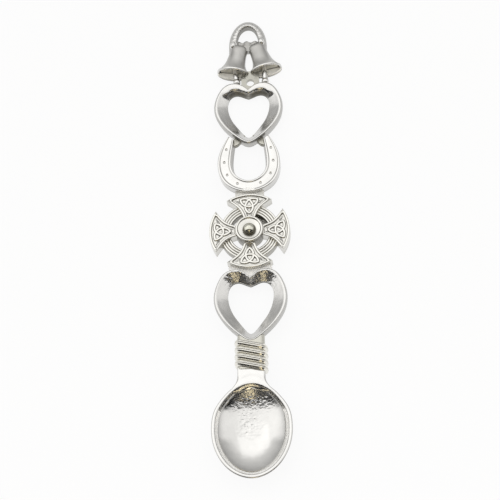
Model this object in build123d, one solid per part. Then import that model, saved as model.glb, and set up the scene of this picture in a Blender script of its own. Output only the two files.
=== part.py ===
from build123d import *
import math
import os

os.makedirs("parts", exist_ok=True)

# A cast metal love spoon, in millimetres. It is modelled lying face up: X runs across it, Y runs up the
# handle from the bowl's tip, and Z is the height above the handle's flat back. The last section lays it
# down as it rests on a table, on the underside of its bowl and the end of its hanging loop.

# Handle
handle_thickness = 3.2
web_thickness = 1.5
contact_bite = 0.45
overrun = 2.0

# Bowl
bowl_length = 29.8
bowl_width = 23.8
bowl_inside_depth = 5.0
bowl_wall = 1.1
bowl_rim_width = 1.1
bowl_rim_round = 0.4

# Neck
neck_length = 3.8
neck_width = 8.2
neck_thickness = 2.9
neck_flare_length = 5.9
neck_flare_width = 3.7
neck_edge_round = 0.5

# Cord binding and the post inside it
binding_length = 8.6
binding_width = 10.2
binding_slope = 13.0
wrap_count = 4
wrap_gap = 0.04
post_corner = 1.3

# Lower heart
lower_heart_length = 23.6
lower_heart_width = 22.2
lower_heart_side_band = 4.2
lower_heart_top_band = 3.7
lower_heart_tip_band = 3.1
lower_heart_rim = 0.6
lobe_gap = 0.9
cleft_web_width = 13.0
cleft_web_thickness = 2.2

# Ring cross
cross_diameter = 24.6
arm_height = 3.8
arm_waist_width = 3.2
arm_tip_angle = 34.0
arm_tip_round = 0.35
arm_border = 0.7
arm_panel_depth = 0.5
ring_outer_diameter = 18.4
ring_inner_diameter = 12.2
ring_height = 2.4
ring_rib_height = 0.35
ring_rib_count = 4
window_web_thickness = 0.9

# Knots in the arms' panels
knot_radius = 3.3
knot_band = 0.5
knot_height = 0.4
knot_distance = 8.9
knot_loop_count = 3

# Boss
boss_diameter = 8.5
boss_height = 5.2
boss_lip_width = 0.75
boss_dish_depth = 1.1
ball_diameter = 4.0
ball_height = 6.2

# Horseshoe
shoe_length = 19.0
shoe_width = 19.3
shoe_opening_width = 11.0
shoe_toe_band = 3.8
shoe_draft = 0.5
shoe_edge_height = 0.35
crease_depth = 0.4
nail_count = 4
nail_hole_diameter = 0.9
nail_hole_depth = 0.5
toe_gap = 1.1
toe_web_width = 8.8
toe_clip_width = 4.4
toe_clip_length = 1.2
toe_clip_height = 0.45

# Upper heart and the corner webs below it
upper_heart_length = 21.7
upper_heart_width = 21.5
upper_heart_side_band = 4.2
upper_heart_top_band = 3.5
upper_heart_tip_band = 3.0
upper_heart_rim = 0.75
heel_gap = 1.7
heel_clearance = 1.2
heel_web_outer_width = 13.8
heel_web_inner_rise = 0.6

# Inner rounding and outer wall of both hearts
heart_wall_height = 0.7
heart_draft = 0.35
heart_edge_round = 0.3

# Bells
bell_length = 9.5
bell_mouth_width = 10.0
bell_wall = 0.8
bell_crown_wall = 1.6
bell_axis_height = 1.3
bell_floor = 0.9
bell_rim_reach = 2.1
bell_meet_offset = 0.4
left_bell_tilt = 14.0
left_lip_tilt = 8.0
left_mouth_offset = 4.8
left_mouth_rise = 4.3
right_bell_tilt = 20.0
right_lip_tilt = 12.0
right_mouth_offset = 5.7
right_mouth_rise = 5.0

# Clappers and the web between the bells and the upper heart
clapper_diameter = 1.7
clapper_end_diameter = 2.3
clapper_reach = 2.2
clapper_sink = 0.15
left_clapper_offset = 3.6
left_clapper_lean = 0.6
right_clapper_offset = 5.4
right_clapper_lean = -0.5
bell_web_width = 5.6
small_hole_diameter = 2.5
small_hole_offset = 0.6
small_hole_rise = 0.6

# Hanging loop
loop_width = 12.0
loop_arch_height = 8.8
loop_hole_width = 6.6
loop_hole_height = 5.3
loop_top_band = 2.5
loop_thickness = 2.8
loop_leg_length = 2.4
loop_base_depth = 3.6
loop_hole_gap = 1.1
loop_edge_round = 0.8

# Right half of a heart's outline and of its opening, point by point from the cleft to the tip: share
# of the half width, share of the length
heart_half_shares = [
    (0.0, 0.885),
    (0.16, 0.955),
    (0.42, 1.0),
    (0.68, 0.965),
    (0.9, 0.82),
    (1.0, 0.63),
    (0.955, 0.47),
    (0.8, 0.325),
    (0.58, 0.195),
    (0.27, 0.065),
    (0.0, 0.0),
]
heart_opening_shares = [
    (0.0, 0.915),
    (0.25, 0.96),
    (0.54, 1.0),
    (0.8, 0.965),
    (0.95, 0.87),
    (1.0, 0.74),
    (0.955, 0.59),
    (0.76, 0.375),
    (0.51, 0.22),
    (0.24, 0.075),
    (0.0, 0.0),
]
# Slope between a heart's rim and its opening: share of the way across, share of the height
heart_slope_shares = [(1.0, 0.0), (0.75, 0.3), (0.5, 0.6), (0.25, 0.87), (0.0, 1.0)]

# Right half of the horseshoe's outer and inner lines, from the toe to the heel, in the same way
shoe_outer_shares = [(0.0, 0.0), (0.45, 0.045), (0.83, 0.2), (1.0, 0.485), (0.965, 0.66), (0.66, 1.0)]
shoe_inner_shares = [(0.0, 0.0), (0.6, 0.085), (0.91, 0.23), (1.0, 0.44), (0.955, 0.64), (0.82, 1.0)]
# Rounding of the horseshoe's outer edge: share of the band, share of the edge's height
shoe_edge_shares = [(0.0, 0.0), (0.025, 0.7), (0.08, 1.0)]
# Place of the crease across the horseshoe's band, and of its nail holes from the toe to the heel
crease_start_share = 0.22
crease_end_share = 0.78
nail_first_share = 0.17
nail_last_share = 0.8

# Right half of the bowl's rim, from the tip to the neck, and the bowl's section from the rim down:
# share of the rim's size, share of the depth
bowl_half_shares = [
    (0.0, 0.0),
    (0.5, 0.07),
    (0.86, 0.25),
    (0.985, 0.41),
    (1.0, 0.55),
    (0.93, 0.7),
    (0.75, 0.818),
    (0.42, 0.945),
    (0.0, 1.0),
]
bowl_section_shares = [
    (1.0, 0.0),
    (0.965, 0.17),
    (0.86, 0.42),
    (0.66, 0.7),
    (0.45, 0.89),
    (0.32, 0.96),
    (0.22, 1.0),
]
bowl_centre_share = 0.53

# Bell from the crown to the lip: share of the mouth's radius, share of the bell's length
bell_shares = [
    (0.42, 0.0),
    (0.52, 0.06),
    (0.55, 0.25),
    (0.57, 0.45),
    (0.64, 0.66),
    (0.8, 0.85),
    (1.0, 1.0),
]
bell_depth_share = 0.75

# Flare of the neck: where its curve passes, between the straight side and the bowl
neck_flare_curve_length_share = 0.5
neck_flare_curve_width_share = 0.22

# Wall of both hearts from the back up: share of the draft, share of the height
heart_wall_shares = [(1.0, 0.0), (0.25, 0.33), (0.0, 0.67)]
heart_edge_share = 0.25

# Dish of the boss: where its curve passes, between the middle and the lip
dish_curve_radius_share = 0.5
dish_curve_depth_share = 0.17

# Side of a cross arm: where its curve passes, between the waist and the tip
arm_curve_length_share = 0.44
arm_curve_width_share = 0.22

# Places of the elements along the handle
bowl_centre_y = bowl_length * bowl_centre_share
neck_top = bowl_length + neck_length
binding_top = neck_top + binding_length
lower_heart_tip = binding_top
lower_heart_top = lower_heart_tip + lower_heart_length
cross_radius = cross_diameter / 2
lobe_x = lower_heart_width / 2 * heart_half_shares[2][0]
cross_y = lower_heart_top + lobe_gap + math.sqrt(cross_radius**2 - lobe_x**2)
shoe_toe = cross_y + cross_radius + toe_gap
shoe_heel = shoe_toe + shoe_length
upper_heart_half_width = upper_heart_width / 2
heel_x = shoe_width / 2 * shoe_outer_shares[-1][0]
(flank_high_x, flank_high_y), (flank_low_x, flank_low_y) = heart_half_shares[-3:-1]
flank_slope = (flank_high_y - flank_low_y) / (flank_high_x - flank_low_x)
flank_rise_share = flank_low_y + flank_slope * (heel_x / upper_heart_half_width - flank_low_x)
upper_heart_tip = shoe_heel + heel_gap - upper_heart_length * flank_rise_share
upper_heart_top = upper_heart_tip + upper_heart_length
upper_cleft = upper_heart_tip + upper_heart_length * heart_half_shares[0][1]
left_mouth_y = upper_heart_top + left_mouth_rise
right_mouth_y = upper_heart_top + right_mouth_rise
left_crown_y = left_mouth_y + bell_length * math.cos(math.radians(left_bell_tilt))
right_crown_y = right_mouth_y + bell_length * math.cos(math.radians(right_bell_tilt))
loop_hole_foot = (left_crown_y + right_crown_y) / 2 + loop_hole_gap
loop_top = loop_hole_foot + loop_hole_height + loop_top_band
loop_spring = loop_top - loop_arch_height


def mirrored(points):
    """Points on the right half, then their mirror images in reverse, without a second middle point."""
    return points + [(-x, y) for x, y in reversed(points[:-1])]


def slab(face, low, high):
    """Straight solid over a face, between two heights."""
    return Pos(0, 0, low) * extrude(face, high - low)


def half_space(x_side, low, high, size):
    """Large block on one side of X = 0, between two heights."""
    return Pos(x_side * size / 2, 0, (low + high) / 2) * Box(size, size, high - low)


# Hearts
def heart_points(shares, width, length, tip_y, side, top, tip):
    """Points of a heart line that lies in by the side, top and tip distances."""
    half_width = width / 2 - side
    height = length - top - tip
    return [(x * half_width, tip_y + tip + y * height) for x, y in shares]


def inset_heart(width, length, tip_y, side, top, tip):
    """Heart outline whose edge lies in by the side, top and tip distances."""
    points = heart_points(heart_half_shares, width, length, tip_y, side, top, tip)
    return make_face(Spline(*mirrored(points)))


def heart_body(width, length, tip_y, top_z):
    """Solid heart whose wall leans in towards the back and rounds over at the front."""
    insets = [(heart_draft * draft, top_z * height) for draft, height in heart_wall_shares]
    insets.append((heart_edge_round * heart_edge_share, top_z - heart_edge_round))
    insets.append((heart_edge_round, top_z))
    faces = [Pos(0, 0, z) * inset_heart(width, length, tip_y, inset, inset, inset) for inset, z in insets]
    return loft(faces)


def heart_pocket(width, length, tip_y, side, top, tip, rim, top_z):
    """Opening of a heart, which widens upwards from its low wall to the rim in a rounded slope."""
    rim_points = heart_points(heart_half_shares, width, length, tip_y, rim, rim, rim)
    opening_points = heart_points(heart_opening_shares, width, length, tip_y, side, top, tip)
    faces = []
    for across, height in heart_slope_shares:
        points = [
            (x_rim + (x_low - x_rim) * across, y_rim + (y_low - y_rim) * across)
            for (x_rim, y_rim), (x_low, y_low) in zip(rim_points, opening_points)
        ]
        rise = heart_wall_height + (top_z - heart_wall_height) * height
        faces.append(Pos(0, 0, rise) * make_face(Spline(*mirrored(points))))
    return loft(faces) + slab(faces[0], -overrun - heart_wall_height, 0)


lower_heart_body = heart_body(lower_heart_width, lower_heart_length, lower_heart_tip, handle_thickness)
lower_heart = lower_heart_body - heart_pocket(
    lower_heart_width,
    lower_heart_length,
    lower_heart_tip,
    lower_heart_side_band,
    lower_heart_top_band,
    lower_heart_tip_band,
    lower_heart_rim,
    handle_thickness,
)
upper_heart_body = heart_body(upper_heart_width, upper_heart_length, upper_heart_tip, handle_thickness)
upper_heart = upper_heart_body - heart_pocket(
    upper_heart_width,
    upper_heart_length,
    upper_heart_tip,
    upper_heart_side_band,
    upper_heart_top_band,
    upper_heart_tip_band,
    upper_heart_rim,
    handle_thickness,
)


# Bowl
def bowl_form(inset, depth, rounding):
    """Solid that fills the bowl to the rim's height, its side in by the inset, its rim edge rounded."""
    width = bowl_width - 2 * inset
    length = bowl_length - 2 * inset
    sections = [(1 + 2 * rounding / width, 1 + 2 * rounding / length, 0)]
    for size_share, depth_share in bowl_section_shares:
        fall = abs(rounding) + (depth - abs(rounding)) * depth_share
        sections.append((size_share, size_share, fall))
    faces = []
    for width_share, length_share, fall in sections:
        points = [
            (x * width / 2 * width_share, bowl_centre_y + (y - bowl_centre_share) * length * length_share)
            for x, y in bowl_half_shares
        ]
        section = make_face(Spline(*mirrored(points)[:-1], periodic=True))
        faces.append(Pos(0, 0, handle_thickness - fall) * section)
    return loft(faces)


bowl_outside = bowl_form(0, bowl_inside_depth + bowl_wall, -bowl_rim_round)
bowl_inside = bowl_form(bowl_rim_width, bowl_inside_depth, bowl_rim_round)
bowl = bowl_outside - bowl_inside


# Neck, from the binding down to the bowl
def neck_side(side):
    start = (side * neck_width / 2, neck_top - neck_length / 2)
    end = (side * (neck_width / 2 + neck_flare_width), start[1] - neck_flare_length)
    middle_x = side * (neck_width / 2 + neck_flare_width * neck_flare_curve_width_share)
    middle = (middle_x, start[1] - neck_flare_length * neck_flare_curve_length_share)
    return start, middle, end


right_start, right_middle, right_end = neck_side(1)
left_start, left_middle, left_end = neck_side(-1)
neck_line = (
    Line((right_start[0], neck_top), right_start)
    + ThreePointArc(right_start, right_middle, right_end)
    + Line(right_end, left_end)
    + ThreePointArc(left_end, left_middle, left_start)
    + Line(left_start, (left_start[0], neck_top))
    + Line((left_start[0], neck_top), (right_start[0], neck_top))
)
neck_solid = slab(make_face(neck_line), 0, neck_thickness)
neck_long_edges = neck_solid.edges().group_by(Axis.Z)[-1].filter_by(
    lambda edge: abs(edge.center().X) > neck_edge_round
)
neck = fillet(neck_long_edges, neck_edge_round) - bowl_outside

# Post inside the binding, and the sloping wraps over it
wrap_pitch = binding_length / wrap_count
wrap_radius = (wrap_pitch * math.cos(math.radians(binding_slope)) - wrap_gap) / 2
post_width = binding_width - 2 * wrap_radius
post_height = handle_thickness
post_face = Plane.XZ * Pos(0, post_height / 2) * RectangleRounded(post_width, post_height, post_corner)
post_top = lower_heart_tip + lower_heart_tip_band
binding_post = Pos(0, post_top, 0) * extrude(post_face, post_top - neck_top) - lower_heart_body


def wrap_path():
    """Line of one wrap's middle, up one side of the post, across its front and down the other."""
    side = post_width / 2
    lines = Polyline(
        (-side, 0, -overrun), (-side, 0, post_height), (side, 0, post_height), (side, 0, -overrun)
    )
    return fillet(lines.vertices().group_by(Axis.Z)[-1], post_corner)


def cord_wrap(number):
    path = wrap_path()
    circle = Plane(path @ 0, z_dir=path % 0) * Circle(wrap_radius)
    ring = sweep(circle, path=path)
    place_y = neck_top + wrap_pitch * (number + 1 / 2)
    placed = Pos(0, place_y, 0) * Rot(0, 0, -binding_slope) * ring
    front = Pos(0, place_y, bowl_length / 2) * Box(bowl_length, bowl_length, bowl_length)
    return placed & front


wrap_solids = [cord_wrap(number) for number in range(wrap_count)]
for wrap_number, wrap in enumerate(wrap_solids):
    wrap_solids[wrap_number] = wrap - binding_post - lower_heart_body - neck


# Ring cross, made about its own centre
def arm_face(inset):
    """One arm, pointing along +Y, whose border lies in by the inset."""
    tip_turn = math.radians(arm_tip_angle)
    tip_x = cross_radius * math.sin(tip_turn)
    tip_y = cross_radius * math.cos(tip_turn)
    waist_x = arm_waist_width / 2
    waist_y = boss_diameter / 2 * math.cos(math.asin(arm_waist_width / boss_diameter))
    curve_x = waist_x + (tip_x - waist_x) * arm_curve_width_share
    curve_y = waist_y + (tip_y - waist_y) * arm_curve_length_share
    line = (
        Line((-waist_x, waist_y), (waist_x, waist_y))
        + ThreePointArc((waist_x, waist_y), (curve_x, curve_y), (tip_x, tip_y))
        + ThreePointArc((tip_x, tip_y), (0, cross_radius), (-tip_x, tip_y))
        + ThreePointArc((-tip_x, tip_y), (-curve_x, curve_y), (-waist_x, waist_y))
    )
    face = make_face(line)
    if inset > 0:
        return offset(face, -inset)
    tips = face.vertices().group_by(Axis.Y)[-1]
    return fillet(tips, arm_tip_round)


boss_cylinder = Cylinder(boss_diameter / 2, boss_height * 2)


def cross_arm():
    body = slab(arm_face(0), 0, arm_height)
    panel = slab(arm_face(arm_border), arm_height - arm_panel_depth, arm_height + overrun)
    return body - panel - boss_cylinder


def knot_face():
    """Flat knot of pointed loops that cross in its middle, each loop between two circles."""
    reach = knot_radius * math.sqrt(3) / 2
    loops = None
    for loop_number in range(knot_loop_count):
        turn = Rot(0, 0, 360 * loop_number / knot_loop_count)
        outer = Pos(-reach / 2, 0) * Circle(reach) & Pos(reach / 2, 0) * Circle(reach)
        inner_size = reach - knot_band
        inner = Pos(-reach / 2, 0) * Circle(inner_size) & Pos(reach / 2, 0) * Circle(inner_size)
        leaf = turn * Pos(0, knot_radius - reach * math.sqrt(3) / 2) * (outer - inner)
        loops = leaf if loops is None else loops + leaf
    return Rot(0, 0, 180) * loops


def cross_ring():
    """Ribbed ring, turned from its section."""
    inner = ring_inner_diameter / 2
    width = (ring_outer_diameter - ring_inner_diameter) / 2
    rib = width / ring_rib_count
    section = Pos(inner + width / 2, ring_height / 2) * Rectangle(width, ring_height)
    rib_size = (rib, 2 * ring_rib_height)
    for rib_number in range(ring_rib_count):
        place = Pos(inner + rib * (rib_number + 1 / 2), ring_height)
        section += place * Ellipse(rib_size[0] / 2, rib_size[1] / 2)
    return revolve(Plane.XZ * section, Axis.Z)


arm_turns = {"top": 0, "left": 90, "bottom": 180, "right": 270}
arm_solid = cross_arm()
arms = {side: Rot(0, 0, turn) * arm_solid for side, turn in arm_turns.items()}
knot_low = arm_height - arm_panel_depth
knot_solid = Pos(0, knot_distance) * slab(knot_face(), knot_low, knot_low + knot_height)
knots = {side: Rot(0, 0, turn) * knot_solid for side, turn in arm_turns.items()}

ring_solid = cross_ring() - boss_cylinder
window_disc = slab(Circle(ring_inner_diameter / 2), 0, window_web_thickness) - boss_cylinder
for arm in arms.values():
    ring_solid -= arm
    window_disc -= arm
quarter_signs = {
    "top_left": (-1, 1),
    "top_right": (1, 1),
    "bottom_left": (-1, -1),
    "bottom_right": (1, -1),
}


def quarter(solid, name):
    """The piece of a solid that lies in one quarter of the cross."""
    sign_x, sign_y = quarter_signs[name]
    block = Pos(sign_x * cross_radius / 2, sign_y * cross_radius / 2, 0) * Box(
        cross_radius, cross_radius, cross_diameter
    )
    return solid & block


ring_quarters = {name: quarter(ring_solid, name) for name in quarter_signs}
window_web = quarter(window_disc, "top_right")

# Boss
boss_radius = boss_diameter / 2
dish_radius = boss_radius - boss_lip_width
dish_foot = boss_height - boss_dish_depth
boss_section = make_face(
    Polyline((0, 0), (boss_radius, 0), (boss_radius, boss_height - boss_lip_width / 2))
    + ThreePointArc(
        (boss_radius, boss_height - boss_lip_width / 2),
        (boss_radius - boss_lip_width / 2, boss_height),
        (dish_radius, boss_height - boss_lip_width / 2),
    )
    + ThreePointArc(
        (dish_radius, boss_height - boss_lip_width / 2),
        (dish_radius * dish_curve_radius_share, dish_foot + boss_dish_depth * dish_curve_depth_share),
        (0, dish_foot),
    )
    + Line((0, dish_foot), (0, 0))
)
ball = Pos(0, 0, ball_height - ball_diameter / 2) * Sphere(ball_diameter / 2)
boss_cup = revolve(Plane.XZ * boss_section, Axis.Z) - ball

cross_place = Pos(0, cross_y, 0)
bottom_arm = cross_place * arms["bottom"]
top_arm = cross_place * arms["top"]
lower_heart -= bottom_arm


# Horseshoe
def shoe_points(share, draft):
    """Points of a line across the horseshoe's band: share 0 is its outer line, share 1 its inner one."""
    inner_length = shoe_length - shoe_toe_band
    points = []
    for (outer_x, outer_y), (inner_x, inner_y) in zip(shoe_outer_shares, shoe_inner_shares):
        x_outside = outer_x * shoe_width / 2
        y_outside = shoe_toe + outer_y * shoe_length
        x_inside = inner_x * (shoe_opening_width / 2 - draft)
        y_inside = shoe_toe + shoe_toe_band + draft + inner_y * (inner_length - draft)
        x_point = x_outside + (x_inside - x_outside) * share
        y_point = y_outside + (y_inside - y_outside) * share
        points.append((x_point, y_point))
    return points


def shoe_face(share, draft=0):
    """Face inside a line across the band, closed straight across between the heels."""
    heel_to_toe = list(reversed(shoe_points(share, draft)))
    points = mirrored(heel_to_toe)
    return make_face(Spline(*points) + Line(points[-1], points[0]))


def shoe_nail_places():
    middle_points = shoe_points((crease_start_share + crease_end_share) / 2, 0)
    middle = Spline(*middle_points)
    places = []
    for nail_number in range(nail_count):
        step = nail_number / max(nail_count - 1, 1)
        point = middle @ (nail_first_share + (nail_last_share - nail_first_share) * step)
        places.extend([(point.X, point.Y), (-point.X, point.Y)])
    return places


shoe_edge_foot = handle_thickness - shoe_edge_height
shoe_body = slab(shoe_face(0), 0, shoe_edge_foot)
shoe_body += loft(
    [Pos(0, 0, shoe_edge_foot + shoe_edge_height * rise) * shoe_face(band) for band, rise in shoe_edge_shares]
)
shoe_opening = loft([shoe_face(1, shoe_draft), Pos(0, 0, handle_thickness) * shoe_face(1)])
shoe_crease = slab(
    shoe_face(crease_start_share) - shoe_face(crease_end_share),
    handle_thickness - crease_depth,
    handle_thickness + overrun,
)
heel_cut = slab(
    inset_heart(
        upper_heart_width,
        upper_heart_length,
        upper_heart_tip,
        -heel_clearance,
        -heel_clearance,
        -heel_clearance,
    ),
    -overrun,
    handle_thickness + overrun,
)
horseshoe = shoe_body - shoe_opening - shoe_crease - heel_cut
nail_low = handle_thickness - crease_depth - nail_hole_depth
for nail_x, nail_y in shoe_nail_places():
    nail_hole = Pos(nail_x, nail_y) * Circle(nail_hole_diameter / 2)
    horseshoe -= slab(nail_hole, nail_low, handle_thickness)

clip_circle_radius = (toe_clip_width**2 / 4 + toe_clip_length**2) / (2 * toe_clip_length)
clip_circle = Pos(0, shoe_toe + toe_clip_length - clip_circle_radius) * Circle(clip_circle_radius)
toe_clip = slab(
    clip_circle & shoe_face(0), handle_thickness - crease_depth, handle_thickness + toe_clip_height
)
toe_clip -= horseshoe

# Webs that join the elements at the level of the back
toe_web_face = Pos(0, shoe_toe) * Rectangle(toe_web_width, 2 * (toe_gap + contact_bite))
toe_web = slab(toe_web_face, 0, web_thickness) - shoe_body - top_arm

cleft_web_foot = lower_heart_tip + lower_heart_length * heart_half_shares[0][1] - contact_bite
cleft_web_top = lower_heart_top + lobe_gap + contact_bite
cleft_web_face = Pos(0, (cleft_web_foot + cleft_web_top) / 2) * Rectangle(
    cleft_web_width, cleft_web_top - cleft_web_foot
)
cleft_web = slab(cleft_web_face, 0, cleft_web_thickness) - lower_heart_body - bottom_arm

heel_web_foot = upper_heart_tip + heel_web_inner_rise
heel_web_top = shoe_heel + heel_gap + contact_bite
heel_web_face = Rectangle(heel_web_outer_width, heel_web_top - heel_web_foot)
heel_web_block = slab(Pos(0, (heel_web_foot + heel_web_top) / 2) * heel_web_face, 0, web_thickness)
heel_web_block -= upper_heart_body
heel_web_block -= horseshoe
left_heel_web = heel_web_block & half_space(-1, -overrun, handle_thickness, 2 * loop_top)
right_heel_web = heel_web_block & half_space(1, -overrun, handle_thickness, 2 * loop_top)


# Bells
def bell_form(mouth, tilt, lip_tilt, radius, start, past):
    """Bell form with oval sections, which turn from square to the axis towards the lip's own slope."""
    axis = Vector(0, 1, 0).rotate(Axis.Z, tilt)
    crown = mouth + axis * bell_length
    sections = []
    for radius_share, length_share in bell_shares:
        centre = crown - axis * (start + length_share * (bell_length - start))
        slope = tilt + (lip_tilt - tilt) * length_share
        sections.append((centre, slope, radius * radius_share))
    if past > 0:
        sections.append((mouth - axis * past, lip_tilt, radius))
    faces = []
    for centre, slope, section_radius in sections:
        way = Vector(0, 1, 0).rotate(Axis.Z, slope)
        plane = Plane(centre, x_dir=way.cross(Vector(0, 0, 1)), z_dir=way)
        faces.append(plane * Ellipse(section_radius, section_radius * bell_depth_share))
    return loft(faces)


def bell(mouth_x, mouth_y, tilt, lip_tilt, side):
    """A bell with its mouth's middle at a place, its rear rim, and the same form without its hollow."""
    mouth = Vector(mouth_x, mouth_y, bell_axis_height)
    radius = bell_mouth_width / 2
    outside = bell_form(mouth, tilt, lip_tilt, radius, 0, 0)
    inside = bell_form(mouth, tilt, lip_tilt, radius - bell_wall, bell_crown_wall, overrun)
    size = 2 * bell_length
    below_back = Pos(mouth_x, mouth_y, -size / 2) * Box(2 * size, 2 * size, size)
    below_floor = Pos(mouth_x, mouth_y, bell_floor - size / 2) * Box(2 * size, 2 * size, size)
    own_side = Pos(bell_meet_offset + side * size / 2, mouth_y, 0) * Box(size, 2 * size, 2 * size)
    rim_face = Pos(mouth_x, mouth_y) * Rot(0, 0, lip_tilt) * Ellipse(radius, bell_rim_reach)
    filled = (outside - below_back + slab(rim_face, 0, bell_floor)) & own_side
    return filled - (inside - below_floor), filled


left_bell, left_bell_filled = bell(
    -left_mouth_offset, left_mouth_y, -left_bell_tilt, -left_lip_tilt, -1
)
right_bell, right_bell_filled = bell(
    right_mouth_offset, right_mouth_y, right_bell_tilt, right_lip_tilt, 1
)
left_bell -= upper_heart_body
right_bell -= upper_heart_body


# Clappers
def clapper(side, offset_x, lean, mouth_y):
    """Rod with a ball at its end that stands on the heart's lobe and reaches up into the bell."""
    end_radius = clapper_end_diameter / 2
    height = bell_floor + clapper_diameter / 2 - clapper_sink
    low = Vector(side * offset_x, upper_heart_top + end_radius - contact_bite, height)
    high = Vector(side * (offset_x + lean), mouth_y + clapper_reach, height)
    way = high - low
    rod = Plane(low, z_dir=way) * extrude(Circle(clapper_diameter / 2), way.length)
    rod += Pos(*high) * Sphere(clapper_diameter / 2)
    return rod + Pos(*low) * Sphere(end_radius)


left_clapper = clapper(-1, left_clapper_offset, left_clapper_lean, left_mouth_y)
left_clapper -= left_bell
left_clapper -= upper_heart_body
right_clapper = clapper(1, right_clapper_offset, right_clapper_lean, right_mouth_y)
right_clapper -= right_bell
right_clapper -= upper_heart_body

bell_web_foot = upper_cleft - contact_bite
bell_web_top = (left_mouth_y + right_mouth_y) / 2
bell_web_face = Pos(small_hole_offset, (bell_web_foot + bell_web_top) / 2) * Rectangle(
    bell_web_width, bell_web_top - bell_web_foot
)
bell_web_face -= Pos(small_hole_offset, upper_heart_top + small_hole_rise) * Circle(small_hole_diameter / 2)
bell_web = slab(bell_web_face, 0, web_thickness) - upper_heart_body
for neighbour in (left_bell_filled, right_bell_filled, left_clapper, right_clapper):
    bell_web -= neighbour


# Hanging loop
def arch_face(half_width, height, foot_y):
    """Upper half of an oval that stands on the line at foot_y."""
    above = Pos(0, foot_y + height / 2) * Rectangle(2 * half_width, height)
    return Pos(0, foot_y) * Ellipse(half_width, height) & above


def loop_plate():
    legs = Pos(0, loop_spring - loop_leg_length / 2) * Rectangle(loop_width, loop_leg_length)
    outline = arch_face(loop_width / 2, loop_arch_height, loop_spring) + legs
    hole = arch_face(loop_hole_width / 2, loop_hole_height, loop_hole_foot)
    plate = slab(outline - hole, 0, loop_thickness)
    arch_edges = plate.edges().filter_by(lambda edge: edge.geom_type == GeomType.ELLIPSE)
    return fillet(arch_edges, loop_edge_round)


teardrop_top = loop_hole_foot - loop_base_depth
between_bells = Pos(bell_meet_offset, teardrop_top - bell_length / 2, 0) * Box(
    left_mouth_offset, bell_length, bell_length
)
hanging_loop = loop_plate() - left_bell_filled - right_bell_filled - between_bells


# Laying the spoon down: the bowl's foot and the back of the loop's end touch the table
foot_edge_y = bowl_centre_y + (1 - bowl_centre_share) * bowl_length * bowl_section_shares[-1][0]
foot_drop = bowl_inside_depth + bowl_wall - handle_thickness
rest_angle = math.degrees(math.atan(foot_drop / (loop_top - loop_edge_round - foot_edge_y)))

nodes = {
    "hanging_loop": hanging_loop,
    "left_bell": left_bell,
    "right_bell": right_bell,
    "left_clapper": left_clapper,
    "right_clapper": right_clapper,
    "bell_web": bell_web,
    "upper_heart": upper_heart,
    "left_heel_web": left_heel_web,
    "right_heel_web": right_heel_web,
    "horseshoe": horseshoe,
    "toe_clip": toe_clip,
    "toe_web": toe_web,
    "window_web": cross_place * window_web,
    "boss_cup": cross_place * boss_cup,
    "boss_ball": cross_place * ball,
    "cleft_web": cleft_web,
    "lower_heart": lower_heart,
    "binding_post": binding_post,
    "neck": neck,
    "bowl": bowl,
}
for side_name in arm_turns:
    nodes["cross_arm_" + side_name] = cross_place * arms[side_name]
    nodes["knot_" + side_name] = cross_place * knots[side_name]
for quarter_name, ring_quarter in ring_quarters.items():
    nodes["ring_" + quarter_name] = cross_place * ring_quarter
for wrap_number, wrap in enumerate(wrap_solids):
    nodes["cord_wrap_" + str(wrap_number + 1)] = wrap

laid = {name: Rot(-rest_angle, 0, 0) * solid for name, solid in nodes.items()}
whole_box = Compound(children=[Compound(solid.solids()) for solid in laid.values()]).bounding_box()
box_middle = whole_box.center()
to_origin = Pos(-box_middle.X, -box_middle.Y, -whole_box.min.Z)
for name, solid in laid.items():
    placed = to_origin * solid
    bodies = placed.solids()
    export_step(bodies[0] if len(bodies) == 1 else Compound(bodies), "parts/" + name + ".step")
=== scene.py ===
import math

import bmesh
import bpy
import numpy as np
from mathutils import Matrix


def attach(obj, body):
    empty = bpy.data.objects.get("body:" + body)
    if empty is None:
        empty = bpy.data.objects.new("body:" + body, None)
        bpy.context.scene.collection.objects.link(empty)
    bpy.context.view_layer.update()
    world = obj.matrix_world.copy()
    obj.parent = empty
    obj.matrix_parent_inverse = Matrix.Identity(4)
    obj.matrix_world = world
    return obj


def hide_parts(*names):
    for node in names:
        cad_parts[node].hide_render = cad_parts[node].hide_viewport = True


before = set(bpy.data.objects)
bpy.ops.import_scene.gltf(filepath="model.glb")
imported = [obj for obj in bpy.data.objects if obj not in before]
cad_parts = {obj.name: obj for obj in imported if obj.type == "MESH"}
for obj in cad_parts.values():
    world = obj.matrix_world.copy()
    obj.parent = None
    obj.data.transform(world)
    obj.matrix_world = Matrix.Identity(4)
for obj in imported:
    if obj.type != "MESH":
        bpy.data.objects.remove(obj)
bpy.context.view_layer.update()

# Shapes are in millimetres in handle coordinates: x runs across the spoon, y from the bowl's tip to the
# loop's top, and z is the height above the flat back. The resting spoon's back is turned by REST and
# moved by REST_Y and REST_Z in the frame.
REST = math.radians(1.253967787)
REST_Y = -76.1114699
REST_Z = 3.31276726
HANDLE_THICKNESS = 3.2


def lay(points):
    """Handle coordinates in millimetres to frame coordinates in metres."""
    points = np.asarray(points, float)
    out = np.empty_like(points)
    out[..., 0] = points[..., 0]
    out[..., 1] = points[..., 1] * math.cos(REST) + points[..., 2] * math.sin(REST) + REST_Y
    out[..., 2] = -points[..., 1] * math.sin(REST) + points[..., 2] * math.cos(REST) + REST_Z
    return out / 1000


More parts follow.
